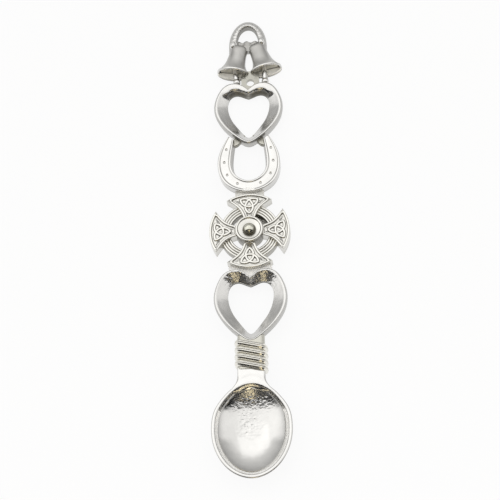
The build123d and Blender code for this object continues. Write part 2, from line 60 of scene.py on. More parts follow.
# Curves
def spline(points, count, closed=False, between=False):
    """Cubic curve through points, with even samples, or with count samples between each two points."""
    points = np.asarray(points, float)
    if closed:
        wrap = len(points)
        points = np.concatenate([points[-4:], points, points[:5]])
    steps = np.sqrt((np.diff(points, axis=0) ** 2).sum(1))
    knots = np.concatenate([[0.0], np.cumsum(steps)])
    number = len(points)
    system = np.zeros((number, number))
    right = np.zeros_like(points)
    system[0, 0] = system[-1, -1] = 1
    for i in range(1, number - 1):
        before, after = steps[i - 1], steps[i]
        system[i, i - 1 : i + 2] = before, 2 * (before + after), after
        right[i] = 6 * ((points[i + 1] - points[i]) / after - (points[i] - points[i - 1]) / before)
    bends = np.linalg.solve(system, right)
    low, high = (knots[4], knots[4 + wrap]) if closed else (0.0, knots[-1])
    at = np.linspace(low, high, 3001)
    if between:
        spans = [np.linspace(a, b, count + 1)[:-1] for a, b in zip(knots[:-1], knots[1:])]
        at = np.concatenate(spans + [knots[-1:]])
    i = np.clip(np.searchsorted(knots, at) - 1, 0, number - 2)
    step = steps[i][:, None]
    a = (knots[i + 1] - at)[:, None] / step
    b = 1 - a
    fine = a * points[i] + b * points[i + 1]
    fine += ((a**3 - a) * bends[i] + (b**3 - b) * bends[i + 1]) * step**2 / 6
    return fine if between else evened(fine, count, closed)


def evened(line, count, closed=False):
    """The same line with count points at even distances."""
    length = np.concatenate([[0.0], np.cumsum(np.sqrt((np.diff(line, axis=0) ** 2).sum(1)))])
    even = np.linspace(0, length[-1], count + 1 if closed else count)
    out = np.stack([np.interp(even, length, line[:, k]) for k in range(line.shape[1])], 1)
    return out[:-1] if closed else out


def mirrored(points):
    """The points, then their mirror images in reverse order, without the last one's."""
    return points + [(-x, y) for x, y in reversed(points[:-1])]


def smooth(low, high, value):
    """Smooth step from 0 at low to 1 at high."""
    t = np.clip((value - low) / (high - low), 0, 1)
    return t * t * (3 - 2 * t)


def arc(low, high, count):
    """Angles from low to high degrees, in radians."""
    return np.radians(np.linspace(low, high, count))


def circle(count):
    """Angles of count points round a circle."""
    return arc(0, 360, count + 1)[:-1]


def unit(vectors):
    return vectors / np.linalg.norm(vectors, axis=-1, keepdims=True)


def normals(line):
    """Unit normals of a closed line, on its left."""
    way = unit(np.roll(line, -1, 0) - np.roll(line, 1, 0))
    return np.stack([-way[:, 1], way[:, 0]], 1)


def hump(value, middle, width):
    """Bell curve that is 1 in the middle."""
    return np.exp(-(((value - middle) / width) ** 2))


def inside(points, outline):
    """Which points lie inside a closed outline."""
    x, y = points[:, :1], points[:, 1:]
    start, end = outline, np.roll(outline, -1, 0)
    crossed = (start[:, 1] > y) != (end[:, 1] > y)
    share = (y - start[:, 1]) / np.where(crossed, end[:, 1] - start[:, 1], 1)
    return np.sum(crossed & (x < start[:, 0] + share * (end[:, 0] - start[:, 0])), 1) % 2 == 1


def spun(x, y, degrees):
    """x and y turned about the origin."""
    t = math.radians(degrees)
    return x * math.cos(t) - y * math.sin(t), x * math.sin(t) + y * math.cos(t)


def at_height(line, z):
    """Points of a flat line, given one height or a height each."""
    return np.column_stack([line, np.broadcast_to(z, len(line))])


# Meshes
class Shell:
    """Collects grids of points, each with its patina and painted shade, into the mesh of one piece."""

    def __init__(self):
        self.points = []
        self.faces = []
        self.patina_and_shade = []
        self.count = 0

    def add(self, points, patina_and_shade=0.0):
        points = np.asarray(points, float).reshape(-1, 3)
        start = self.count
        self.points.append(points)
        self.patina_and_shade.append(np.broadcast_to(np.asarray(patina_and_shade, float).reshape(-1), (len(points),)))
        self.count += len(points)
        return start

    def fan(self, first, count, middle, patina_and_shade=0.0):
        """Closes the ring of count points from first on towards a middle point."""
        centre = self.add(middle, patina_and_shade)
        for k in range(count):
            self.faces.append((first + k, first + (k + 1) % count, centre))

    def grid(self, rows, patina_and_shade=0.0, around=True, closed=False, caps=True, end_point=None):
        """Rows of equal length; around joins each row's ends, closed joins the last row to the first."""
        rows = np.asarray(rows, float)
        height, width = rows.shape[:2]
        start = self.add(rows, patina_and_shade)
        for i in range(height if closed else height - 1):
            this, following = start + i * width, start + (i + 1) % height * width
            for k in range(width if around else width - 1):
                m = (k + 1) % width
                self.faces.append((this + k, this + m, following + m, following + k))
        if caps:
            for row, middle in ((0, None), (height - 1, end_point)):
                middle = rows[row].mean(0) if middle is None else middle
                self.fan(start + row * width, width, middle, np.ravel(patina_and_shade)[-1])

    def make(self, *nodes, material, sharp, weld=1e-7, pale_lit=None, pale_lit_faces=()):
        """Makes the piece that replaces nodes. A second material, pale with painted light, may cover the
        given spans of faces.
        """
        name = nodes[0] + "_look"
        mesh = bpy.data.meshes.new(name)
        mesh.from_pydata(lay(np.concatenate(self.points)).tolist(), [], self.faces)
        for first, last in pale_lit_faces:
            for polygon in mesh.polygons[first:last]:
                polygon.material_index = 1
        layer = mesh.attributes.new("patina_and_shade", "FLOAT", "POINT")
        layer.data.foreach_set("value", np.concatenate(self.patina_and_shade).astype(np.float32))
        work = bmesh.new()
        work.from_mesh(mesh)
        bmesh.ops.remove_doubles(work, verts=work.verts, dist=weld)
        bmesh.ops.recalc_face_normals(work, faces=work.faces)
        work.to_mesh(mesh)
        work.free()
        mesh.polygons.foreach_set("use_smooth", [True] * len(mesh.polygons))
        mesh.set_sharp_from_angle(angle=math.radians(sharp))
        piece = bpy.data.objects.new(name, mesh)
        bpy.context.scene.collection.objects.link(piece)
        piece.data.materials.append(material)
        if pale_lit:
            piece.data.materials.append(pale_lit)
        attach(piece, "root")
        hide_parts(*nodes)


# Materials
class Graph:
    """Adds nodes to a tree. An input given as a socket is linked, and any other value is set."""

    def __init__(self, tree):
        self.tree = tree

    def fill(self, made, inputs):
        for name, value in inputs.items():
            if isinstance(value, bpy.types.NodeSocket):
                self.tree.links.new(value, made.inputs[name])
            else:
                made.inputs[name].default_value = value
        return made

    def add(self, kind, inputs=None, **settings):
        made = self.tree.nodes.new(kind)
        for name, value in settings.items():
            setattr(made, name, value)
        return self.fill(made, inputs or {})

    def math(self, operation, *values):
        return self.add("ShaderNodeMath", dict(enumerate(values)), operation=operation).outputs[0]

    def noise(self, place, scale, detail, roughness=0.5):
        inputs = {"Vector": place, "Scale": scale, "Detail": detail, "Roughness": roughness}
        return self.add("ShaderNodeTexNoise", inputs).outputs["Fac"]

    def ramp(self, value, low, high, to_low, to_high, interpolation="SMOOTHSTEP"):
        inputs = {"From Min": low, "From Max": high, "To Min": to_low, "To Max": to_high, "Value": value}
        return self.add("ShaderNodeMapRange", inputs, interpolation_type=interpolation).outputs["Result"]

    def distance(self, place, point):
        return self.add("ShaderNodeVectorMath", {0: place, 1: point}, operation="DISTANCE").outputs["Value"]

    def mix(self, factor, colour, other):
        inputs = {"Factor": factor, 6: colour, 7: other}
        return self.add("ShaderNodeMix", inputs, data_type="RGBA").outputs[2]

    def bump(self, height, depth, normal=None):
        """Dents as deep as depth, in millimetres."""
        inputs = {"Strength": 1.0, "Distance": depth / 1000, "Height": height}
        if normal:
            inputs["Normal"] = normal
        return self.add("ShaderNodeBump", inputs).outputs["Normal"]


PIT_SIZE = 0.35
CLOUD_SCALE = 260.0
# The dark colour that the patina value mixes in: patina in recesses, and painted shade elsewhere
PATINA_AND_SHADE_COLOUR = (0.095, 0.088, 0.068, 1)
PATINA_ROUGHNESS = 0.3


def pewter(name, tone, rough, wave, pit, tint=(1.0, 0.99, 0.965), metal=1.0, wave_size=1.6, marks=()):
    """Polished cast pewter: uneven polish, faint casting waves, fine pits, dull recesses, and painted shade
    where the patina value darkens it.

    wave and pit are depths and wave_size is the size of the waves, in millimetres. Each mark is a patch of
    rough casting: its centre and its full and outer radius in metres, then its depth and its grain in
    millimetres.
    """
    material = bpy.data.materials.new(name)
    material.use_nodes = True
    graph = Graph(material.node_tree)
    place = graph.add("ShaderNodeTexCoord").outputs["Object"]
    waves = graph.noise(place, 1000 / wave_size, 2.0, 0.45)
    pits = graph.noise(place, 1000 / PIT_SIZE, 3.0, 0.6)
    cloud = graph.noise(place, CLOUD_SCALE, 4.0, 0.6)
    colour = graph.add("ShaderNodeValToRGB", {"Fac": cloud})
    for element, position, share in zip(colour.color_ramp.elements, (0.3, 0.7), (0.94, 1.04)):
        element.position = position
        element.color = (*(tone * share * part for part in tint), 1)
    dull = graph.add("ShaderNodeAttribute", attribute_name="patina_and_shade").outputs["Fac"]
    polish = graph.ramp(cloud, 0.35, 0.7, rough * 0.75, rough * 1.5, "LINEAR")
    normal = graph.bump(pits, pit, graph.bump(waves, wave))
    for centre, (full, outer), depth, grain in marks:
        spots = graph.noise(place, 1000 / grain, 2.0)
        strength = graph.ramp(graph.distance(place, centre), full, outer, 1.0, 0.0)
        normal = graph.bump(graph.math("MULTIPLY", spots, strength), depth, normal)
    graph.fill(material.node_tree.nodes["Principled BSDF"], {
        "Metallic": metal,
        "Base Color": graph.mix(dull, colour.outputs["Color"], PATINA_AND_SHADE_COLOUR),
        "Roughness": graph.math("MULTIPLY_ADD", dull, PATINA_ROUGHNESS, polish),
        "Normal": normal,
    })
    return material


CREAM = (1.0, 0.985, 0.93)
WARM = (1.0, 0.98, 0.88)
PEWTER = pewter("pewter", tone=0.7, rough=0.12, wave=0.04, pit=0.005)
BOWL_PEWTER = pewter(
    "pewter_bowl", tone=0.7, rough=0.13, wave=0.02, pit=0.006,
    marks=(
        ((-0.0012, -0.0585, 0.0015), (0.001, 0.006), 0.38, 0.85),
        ((0.0, -0.0495, 0.004), (0.004, 0.0095), 0.14, 0.8),
    ),
)
CROSS_PEWTER = pewter("pewter_cross", tone=0.76, rough=0.2, wave=0.03, pit=0.01, tint=CREAM)
CORD_PEWTER = pewter("pewter_cord", tone=0.82, rough=0.14, wave=0.05, pit=0.008, tint=(1.0, 0.98, 0.91))
BALL_PEWTER = pewter("pewter_ball", tone=0.66, rough=0.05, wave=0.006, pit=0.0, tint=(1.0, 0.985, 0.86))
# A darker, warmer copy of pewter: painted shade on the low webs at the heels and on the binding's post
WEB_PEWTER = pewter("pewter_web", tone=0.55, rough=0.3, wave=0.05, pit=0.012, tint=WARM)
HEART_PEWTER = pewter(
    "pewter_heart", tone=0.7, rough=0.17, wave=0.04, pit=0.005,
    marks=(
        ((0.0, 0.0515, 0.003), (0.004, 0.011), 0.08, 1.0),
        ((0.0, -0.0125, 0.004), (0.006, 0.0105), 0.26, 1.1),
    ),
)
BELL_PEWTER = pewter("pewter_bell", tone=0.7, rough=0.26, wave=0.05, pit=0.014)
# A pale copy of pewter that is no metal: painted light in the bells' hollows, on their sills and on the toe
# web
PALE_LIT_PEWTER = pewter("pewter_pale_lit", tone=0.92, rough=0.5, wave=0.05, pit=0.02, tint=CREAM, metal=0.0)
# A pale copy of pewter with almost no metal: painted light on the bowl's steep inner wall, the cleft web and
# the toe clip
RIM_PEWTER = pewter("pewter_rim", tone=0.95, rough=0.4, wave=0.03, pit=0.01, metal=0.1)
# A darker copy of pewter: painted shade on the web between the bells
BELL_WEB_PEWTER = pewter("pewter_bell_web", tone=0.42, rough=0.3, wave=0.12, pit=0.02, tint=WARM)
# A dark copy of pewter: painted shade in the window that the web closes
WINDOW_PEWTER = pewter(
    "pewter_window", tone=0.3, rough=0.14, wave=0.3, pit=0.03, tint=(1.0, 0.98, 0.9), wave_size=0.8,
    marks=(((0.0036, 0.0056, 0.002), (0.002, 0.004), 0.5, 0.7),),
)

# Hearts, in shares of half the width and of the length, from the top's middle to the tip
HEART = [
    (0.0, 0.885), (0.16, 0.955), (0.42, 1.0), (0.68, 0.965), (0.9, 0.82), (1.0, 0.63), (0.955, 0.47),
    (0.8, 0.325), (0.58, 0.195), (0.27, 0.065), (0.0, 0.0),
]
OPENING = [
    (0.0, 0.915), (0.25, 0.96), (0.54, 1.0), (0.8, 0.965), (0.95, 0.87), (1.0, 0.74), (0.955, 0.59),
    (0.76, 0.375), (0.51, 0.22), (0.24, 0.075), (0.0, 0.0),
]
# The slope from the rim down to the opening: share of the way across, share of the fall still left
SIDE_SLOPE = spline([(0.0, 1.0), (0.08, 0.97), (0.2, 0.86), (0.5, 0.54), (0.8, 0.22), (1.0, 0.0)], 60)
LOBE_SLOPE = spline([(0.0, 1.0), (0.3, 0.99), (0.5, 0.93), (0.7, 0.7), (1.0, 0.0)], 60)
# Shares of the length between which the lobes' own slope comes in
LOBES = (0.78, 0.92)
# Inset, height and painted shade of the outer wall and of the opening's wall, darker towards the floor
HEART_FOOT = ((0.35, 0, 0.55), (0.2, 0.12, 0.5), (0.11, 0.7, 0.42), (0.03, 1.3, 0.38), (0.0, 1.8, 0.34))
HEART_INSIDE = ((0.0, 0.8, 0.45), (0.0, 0.1, 0.5), (0.1, 0.0, 0.5))
HEART_ROUND_FOOT = 1.8
OPENING_EDGE = 1.1
LOBE_EDGE_RISE = 0.25

LOWER_TIP = 42.2
UPPER_TIP = 107.837324
UPPER_WIDTH = 21.5
UPPER_LENGTH = 21.7
UPPER_TOP = UPPER_TIP + UPPER_LENGTH


def heart_line(shares, width, length, tip_y, side, top, tip):
    points = [(x * (width / 2 - side), tip_y + tip + y * (length - top - tip)) for x, y in mirrored(shares)]
    return spline(points, 18, between=True)[:-1]


def heart(name, width, length, tip_y, side, top, tip, rim, lobe_share):
    """side, top and tip are the frame's widths there; lobe_share is the share of LOBE_SLOPE in the lobes."""
    def outer(inset, z):
        return at_height(heart_line(HEART, width, length, tip_y, inset, inset, inset), z)

    rows = [outer(inset, z) for inset, z, dull in HEART_FOOT]
    shade = [dull for inset, z, dull in HEART_FOOT]
    # The rounding up to the rim, with painted shade that fades towards its top
    for turn in arc(12, 90, 10):
        z = HEART_ROUND_FOOT + (HANDLE_THICKNESS - HEART_ROUND_FOOT) * math.sin(turn)
        rows.append(outer(rim * 0.95 * (1 - math.cos(turn)), z))
        shade.append(0.34 * math.cos(turn) ** 0.7 + 0.02)
    rim_line = heart_line(HEART, width, length, tip_y, rim, rim, rim)
    low_line = heart_line(OPENING, width, length, tip_y, side, top, tip)
    high_up = smooth(*LOBES, (rim_line[:, 1] - tip_y) / length)
    lobe = lobe_share * high_up
    edge = OPENING_EDGE + LOBE_EDGE_RISE * lobe
    # The slope down to the opening; on the upper heart's lobes, painted reflection darkens its lower part
    for (across, rise), (lobe_across, lobe_rise) in zip(SIDE_SLOPE[1:], LOBE_SLOPE[1:]):
        over = (across + (lobe_across - across) * lobe)[:, None]
        up = rise + (lobe_rise - rise) * lobe
        rows.append(at_height(rim_line + (low_line - rim_line) * over, edge + (HANDLE_THICKNESS - edge) * up))
        shade.append(0.04 + 0.06 * across**3 + 0.8 * lobe * smooth(0.5, 0.75, across))
    # The opening's wall, with more painted shade under the lobes
    for inset, z, dull in HEART_INSIDE:
        line = heart_line(OPENING, width, length, tip_y, side - inset, top - inset, tip - inset)
        rows.append(at_height(line, z))
        shade.append(dull + 0.45 * high_up)
    shell = Shell()
    patina_and_shade = np.concatenate([np.broadcast_to(dull, len(rim_line)) for dull in shade])
    shell.grid(rows, patina_and_shade, closed=True, caps=False)
    shell.make(name, material=HEART_PEWTER, sharp=50)


heart(
    "lower_heart", width=22.2, length=23.6, tip_y=LOWER_TIP,
    side=4.2, top=3.7, tip=3.1, rim=0.6, lobe_share=0.0,
)
heart(
    "upper_heart", width=UPPER_WIDTH, length=UPPER_LENGTH, tip_y=UPPER_TIP,
    side=4.2, top=3.5, tip=3.0, rim=0.75, lobe_share=1.0,
)

# Bowl
BOWL_LENGTH = 29.8
BOWL_WIDTH = 23.8
BOWL_DEPTH = 5.0
BOWL_WALL = 1.1
BOWL_RIM_ROUND = 0.4
BOWL_CENTRE_Y = 15.794
BOWL_CENTRE_SHARE = 0.53
BOWL_RIM_FOOT = HANDLE_THICKNESS - BOWL_RIM_ROUND
BOWL = [
    (0.0, 0.0), (0.5, 0.07), (0.86, 0.25), (0.985, 0.41), (1.0, 0.55), (0.93, 0.7), (0.75, 0.818),
    (0.42, 0.945), (0.0, 1.0),
]
# Share of the outline's size and share of the depth, from the rim to the floor
SECTION = spline([
    (1.0, 0.0), (0.965, 0.17), (0.86, 0.42), (0.66, 0.7), (0.45, 0.89), (0.32, 0.96), (0.22, 1.0),
], 40)
FLOOR_SHARES = (0.15, 0.07)
BOWL_COUNT = 300
# The size at which the outline's points are spaced evenly
SPACING = (11, 29)
bowl_points = [(x * SPACING[0], (y - BOWL_CENTRE_SHARE) * SPACING[1]) for x, y in mirrored(BOWL)[:-1]]
bowl_line = spline(bowl_points, BOWL_COUNT, closed=True) / SPACING


def bowl_ring(inset, share, z):
    x = bowl_line[:, 0] * (BOWL_WIDTH - 2 * inset) / 2 * share
    y = BOWL_CENTRE_Y + bowl_line[:, 1] * (BOWL_LENGTH - 2 * inset) * share
    return at_height(np.column_stack([x, y]), z)


def bowl():
    inside_fall = BOWL_DEPTH - BOWL_RIM_ROUND
    outside_fall = inside_fall + BOWL_WALL
    rows = [bowl_ring(0, share, BOWL_RIM_FOOT - outside_fall * fall) for share, fall in SECTION[::-1]]
    outer_edge, inner_edge = arc(15, 90, 6), arc(90, 0, 7)
    for turn in outer_edge:
        inset = BOWL_RIM_ROUND * (1 - math.cos(turn))
        rows.append(bowl_ring(inset, 1, BOWL_RIM_FOOT + BOWL_RIM_ROUND * math.sin(turn)))
    for turn in inner_edge:
        inset = BOWL_WALL - BOWL_RIM_ROUND * (1 - math.cos(turn))
        rows.append(bowl_ring(inset, 1, BOWL_RIM_FOOT + BOWL_RIM_ROUND * math.sin(turn)))
    rim_rows = len(rows)
    for share, fall in SECTION[1:]:
        rows.append(bowl_ring(BOWL_WALL, share, BOWL_RIM_FOOT - inside_fall * fall))
    for share in FLOOR_SHARES:
        rows.append(bowl_ring(BOWL_WALL, share, BOWL_RIM_FOOT - inside_fall))
    outside = len(SECTION) + len(outer_edge)
    # Painted shade: the bowl's outside and the outer rounding of its rim are darker than its inside
    shade = np.concatenate([
        np.linspace(0.3, 0.4, len(SECTION)),
        np.linspace(0.35, 0.0, len(outer_edge)),
        np.zeros(len(rows) - outside),
    ])
    shell = Shell()
    shell.grid(rows, np.repeat(shade, BOWL_COUNT))
    # The steep wall inside the rim, except in the third of the outline next to the neck, takes the pale
    # material: painted light in place of its dark reflection
    third = BOWL_COUNT // 3
    wall = []
    for row in range(rim_rows - 1, rim_rows + 7):
        for side in (0, 2 * third):
            wall.append((BOWL_COUNT * row + side, BOWL_COUNT * row + side + third))
    shell.make("bowl", material=BOWL_PEWTER, sharp=60, pale_lit=RIM_PEWTER, pale_lit_faces=wall)


bowl()

# Neck: it widens into the bowl's rim, whose edge is lost in it
NECK_END = 33.9
NECK_THICKNESS = 2.9
# The neck rises to just above the bowl's rim and dips to it at the end
NECK_RISE = 0.31
NECK_DIP = 0.1
BOWL_RIM_NEAR_NECK = 18
# y and half the width, from the bowl to the binding
FLARE = spline([
    (25.8, 7.75), (27.0, 6.4), (28.2, 5.35), (29.4, 4.62), (30.6, 4.25), (31.7, 4.15), (34.0, 4.15),
], 80)
# The edges and the back of the section: share of half the width, and depth below the top
NECK_SIDE = [(0.93, 0.05), (0.97, 0.16), (0.99, 0.34), (1.0, 0.6), (1.0, 1.6), (0.97, 3.2)]


def neck():
    bowl_edge = []
    for inset in (0.75, 0.0):
        ring = bowl_ring(inset, 1, 0)
        ring = ring[ring[:, 1] > BOWL_RIM_NEAR_NECK]
        bowl_edge.append(ring[np.argsort(ring[:, 0])])
    start_y, start_half = FLARE[0]
    section = [(across, 0.0) for across in np.linspace(-0.86, 0.86, 29)] + NECK_SIDE
    section += [(0, 3.2)] + [(-across, drop) for across, drop in reversed(NECK_SIDE)]
    rows = []
    shade = []
    for along in np.linspace(0, 1, 33):
        half = float(np.interp(NECK_END - (NECK_END - start_y) * along, *FLARE.T))
        top = NECK_THICKNESS + NECK_RISE * smooth(0.25, 0.7, along) - NECK_DIP * smooth(0.94, 1.0, along)
        row = []
        for across, drop in section:
            share = abs(across) ** 5
            rim_y, edge_y = (np.interp(start_half * across, ring[:, 0], ring[:, 1]) for ring in bowl_edge)
            y_end = (1 - share) * rim_y + share * edge_y
            row.append((half * across, NECK_END + (y_end - NECK_END) * along, max(top - drop, 0.0)))
            # Painted shade: the neck's sides and back are darker than its top
            shade.append(0.35 if drop > 0.5 else 0.3 * drop)
        rows.append(row)
    shell = Shell()
    shell.grid(rows, shade)
    shell.make("neck", material=PEWTER, sharp=60)


neck()

# Binding: four sloping wraps, each with the lines of its strands
WRAPS = 4
BINDING_START = 33.6
BINDING_LENGTH = 8.6
BINDING_WIDTH = 10.2
WRAP_SLOPE = 13
WRAP_GAP = 0.04
WRAP_CORNER = 1.3
WRAP_COUNT = 48
# Angle round the wrap, where 90 degrees is its top, and depth as a share of its radius
STRAND_LINES = ((58, 0.05), (92, 0.17), (126, 0.05))
STRAND_LINE_WIDTH = 8


def wrap(number):
    pitch = BINDING_LENGTH / WRAPS
    radius = (pitch * math.cos(math.radians(WRAP_SLOPE)) - WRAP_GAP) / 2
    side = (BINDING_WIDTH - 2 * radius) / 2
    shoulder = HANDLE_THICKNESS - WRAP_CORNER
    path = [(-side, z) for z in np.linspace(0.02, shoulder, 6)]
    for turn in arc(0, 90, 9)[1:]:
        path.append((-side + WRAP_CORNER * (1 - math.cos(turn)), shoulder + WRAP_CORNER * math.sin(turn)))
    path += [(x, HANDLE_THICKNESS) for x in np.linspace(-side + WRAP_CORNER, 0, 8)[1:]]
    path = np.array(mirrored(path))
    angles = circle(WRAP_COUNT)
    degrees = np.degrees(angles)
    size = radius * (1 - sum(depth * hump(degrees, at, STRAND_LINE_WIDTH) for at, depth in STRAND_LINES))
    along, out = size * np.cos(angles), size * np.sin(angles)
    middle_y = BINDING_START + pitch * (number + 0.5)
    rows = []
    for (x, z), (way_x, way_z) in zip(path, unit(np.gradient(path, axis=0))):
        wrap_x, wrap_y = spun(x - way_z * out, along, -WRAP_SLOPE)
        rows.append(np.column_stack([wrap_x, middle_y + wrap_y, np.maximum(z + way_x * out, 0.0)]))
    # Patina in the deep line between the strands, and painted shade on the side against the handle
    shade = 0.2 * hump(degrees, 92, 9) + 0.25 * (np.sin(angles) < 0.05)
    shell = Shell()
    shell.grid(rows, np.tile(shade, len(path)))
    shell.make("cord_wrap_%d" % (number + 1), material=CORD_PEWTER, sharp=50)


for number in range(WRAPS):
    wrap(number)

# Ring cross: its arms are made round the origin, pointing up, and then turned and moved into place
CROSS_Y = 78.0822562
CROSS_RADIUS = 12.29
TURNS = {"top": 0, "left": 90, "bottom": 180, "right": 270}
# Degrees from the arm's middle line to its tips
ARM_SPREAD = 34
ARM_WAIST = (1.6, 3.7)
# The arm's side bends at these shares of the way from this point to the tip
ARM_BEND_FROM = np.array([1.6, 3.94])
ARM_BEND = (0.22, 0.44)
ARM_CENTRE = np.array([0.0, 8.6])
PANEL_CENTRE = (0, 8.9, 3.38)
# Inset, height, and patina and painted shade, from the foot over the rim to the sunk panel: painted shade
# darkens the wall towards the floor, patina the sunk panel's edge
ARM_ROWS = (
    (0.0, 0.0, 0.3), (0.0, 1.6, 0.15), (0.0, 3.3, 0.1), (0.02, 3.52, 0.1), (0.08, 3.7, 0.05), (0.2, 3.8, 0.0),
    (0.52, 3.8, 0.0), (0.62, 3.74, 0.1), (0.69, 3.45, 0.5), (0.8, 3.33, 0.55), (0.95, 3.33, 0.22),
    (1.15, 3.38, 0.14),
)


def arm_line():
    angles = arc(ARM_SPREAD, -ARM_SPREAD, 60)
    end = CROSS_RADIUS * np.column_stack([np.sin(angles), np.cos(angles)])
    bend = ARM_BEND_FROM + (end[0] - ARM_BEND_FROM) * ARM_BEND
    side = spline([ARM_WAIST, bend, end[0]], 70)
    waist_x, waist_y = ARM_WAIST
    waist = np.array([(x, waist_y) for x in np.linspace(-waist_x, waist_x, 12)])
    return np.concatenate([line[:-1] for line in (side, end, side[::-1] * (-1, 1), waist)])


def inset_line(line, distance):
    """Closed line moved inwards, kept from crossing itself at sharp corners."""
    if distance == 0:
        return line
    moved = line + normals(line) * distance
    for _ in range(8):
        gap = np.sqrt(((moved[:, None] - line[None]) ** 2).sum(2)).min(1)
        short = np.clip(distance - gap, 0, None)
        moved = moved + unit(ARM_CENTRE - moved) * short[:, None] * 0.8
    return moved


def turned(points, degrees):
    """Points round the origin, turned about it and moved to the middle of the cross."""
    out = np.array(points, float)
    x, y = spun(out[..., 0], out[..., 1], degrees)
    out[..., 0], out[..., 1] = x, y + CROSS_Y
    return out


def arms():
    outline = arm_line()
    rows = [at_height(inset_line(outline, inset), z) for inset, z, dull in ARM_ROWS]
    patina_and_shade = np.repeat([dull for inset, z, dull in ARM_ROWS], len(outline))
    for side, degrees in TURNS.items():
        shell = Shell()
        shell.grid(turned(rows, degrees), patina_and_shade, end_point=turned(PANEL_CENTRE, degrees))
        shell.make("cross_arm_" + side, material=CROSS_PEWTER, sharp=45)


arms()

# Knots: three pointed loops of a rounded band, which pass over and under one another
KNOT_SIZE = 3.35
KNOT_INSET = 0.3
KNOT_Y = 8.85
KNOT_FOOT = 3.39
KNOT_WEAVE = 0.05
# Across the band: offset, height above its foot, patina
KNOT_BAND = (
    (0.47, 0.0, 0.7), (0.39, 0.05, 0.65), (0.32, 0.25, 0.3), (0.21, 0.35, 0.0), (0.07, 0.38, 0.0),
    (-0.02, 0.35, 0.08), (-0.11, 0.38, 0.0), (-0.25, 0.35, 0.0), (-0.36, 0.25, 0.3), (-0.43, 0.05, 0.65),
    (-0.51, 0.0, 0.7),
)


def knot_lines():
    reach = KNOT_SIZE * math.sqrt(3) / 2
    angles = arc(-60, 60, 37)[:-1]
    half = np.column_stack([reach * np.cos(angles) - reach / 2, reach * np.sin(angles)])
    leaf = np.concatenate([half, -half]) + (0, KNOT_SIZE - reach * math.sqrt(3) / 2)
    return [np.column_stack(spun(*leaf.T, 180 + 120 * third)) for third in range(3)]


def knot(side, degrees):
    shell = Shell()
    for third, line in enumerate(knot_lines()):
        weave = KNOT_WEAVE * np.sin(np.arange(len(line)) / len(line) * 6 * math.pi + third)
        rows = []
        for offset, rise, dull in KNOT_BAND:
            moved = line + normals(line) * (offset + KNOT_INSET) + (0, KNOT_Y)
            rows.append(at_height(moved, KNOT_FOOT + rise + weave * (rise > 0.1)))
        patina_and_shade = np.repeat([dull for offset, rise, dull in KNOT_BAND], len(line))
        shell.grid(turned(rows, degrees), patina_and_shade, caps=False)
    shell.make("knot_" + side, material=CROSS_PEWTER, sharp=60)


for side, degrees in TURNS.items():
    knot(side, degrees)

# Ring: four rounded ribs, in quarters whose ends are lost in the arms
RING_INNER = 6.1
RING_OUTER = 9.2
RIBS = 4
RIB_FOOT = 2.24
RIB_RISE = 0.42
RIB_PATINA = [0.7, 0.2, 0.05, 0, 0, 0, 0.05, 0.2, 0.7]
QUARTERS = {"top_right": 45, "top_left": 135, "bottom_left": 225, "bottom_right": 315}
QUARTER_SPREAD = 33
QUARTER_COUNT = 60


def ring_profile():
    """Radii and heights, from the outside over the ribs to the inside."""
    half_rib = (RING_OUTER - RING_INNER) / RIBS / 2
    profile = [(RING_OUTER, 0.0), (RING_OUTER, 1.9)]
    for rib in range(RIBS):
        middle = RING_OUTER - (2 * rib + 1) * half_rib
        for turn in arc(8, 172, len(RIB_PATINA)):
            profile.append((middle + half_rib * math.cos(turn), RIB_FOOT + RIB_RISE * math.sin(turn) ** 0.8))
    return profile + [(RING_INNER, 2.1), (RING_INNER, 0.0)]


for quarter, middle in QUARTERS.items():
    rows = []
    for turn in arc(middle - QUARTER_SPREAD, middle + QUARTER_SPREAD, QUARTER_COUNT):
        rows.append([(r * math.cos(turn), r * math.sin(turn) + CROSS_Y, z) for r, z in ring_profile()])
    shell = Shell()
    # Painted shade on the outer wall; patina in the valleys between the ribs and on the inner wall
    shell.grid(rows, np.tile([0.5, 0.45] + RIB_PATINA * RIBS + [0.7, 0.75], QUARTER_COUNT), caps=False)
    shell.make("ring_" + quarter, material=CROSS_PEWTER, sharp=50)

# Boss, with a rounded lip and a dish, and its ball
BOSS_RADIUS = 4.25
BOSS_LIP_ROUND = 0.4
BOSS_LIP_Z = 4.8
BOSS_COUNT = 96
# Painted shade down the boss's wall, darkest at its foot, and a little patina in the dish
BOSS_SHADE = [0.6, 0.5, 0.4, 0.25, 0.1] + [0.0] * 10 + list(np.linspace(0.0, 0.1, 13))
# Radius and height where the dish begins, how far it reaches in and down, and its middle below the ball
DISH_START = (3.43, 4.85)
DISH_REACH = (1.45, 0.37)
DISH_MIDDLE = (1.0, 4.1)
BALL_RADIUS = 2.0
BALL_Z = 4.2
BALL_COUNT = 72


def lathe(section, count):
    """Rows of a section of radii and heights, turned about the middle of the cross."""
    angles = circle(count)
    round_line = np.column_stack([np.cos(angles), np.sin(angles)])
    return [at_height(round_line * radius + (0, CROSS_Y), z) for radius, z in section]


def boss():
    section = [(BOSS_RADIUS, 0.0), (BOSS_RADIUS, 4.6)]
    for turn in arc(10, 170, 13):
        radius = BOSS_RADIUS - BOSS_LIP_ROUND * (1 - math.cos(turn))
        section.append((radius, BOSS_LIP_Z + BOSS_LIP_ROUND * math.sin(turn)))
    for share in np.linspace(0.08, 1, 12):
        section.append((DISH_START[0] - DISH_REACH[0] * share, DISH_START[1] - DISH_REACH[1] * share))
    section.append(DISH_MIDDLE)
    shell = Shell()
    shell.grid(lathe(section, BOSS_COUNT), np.repeat(BOSS_SHADE, BOSS_COUNT))
    shell.make("boss_cup", material=CROSS_PEWTER, sharp=60)


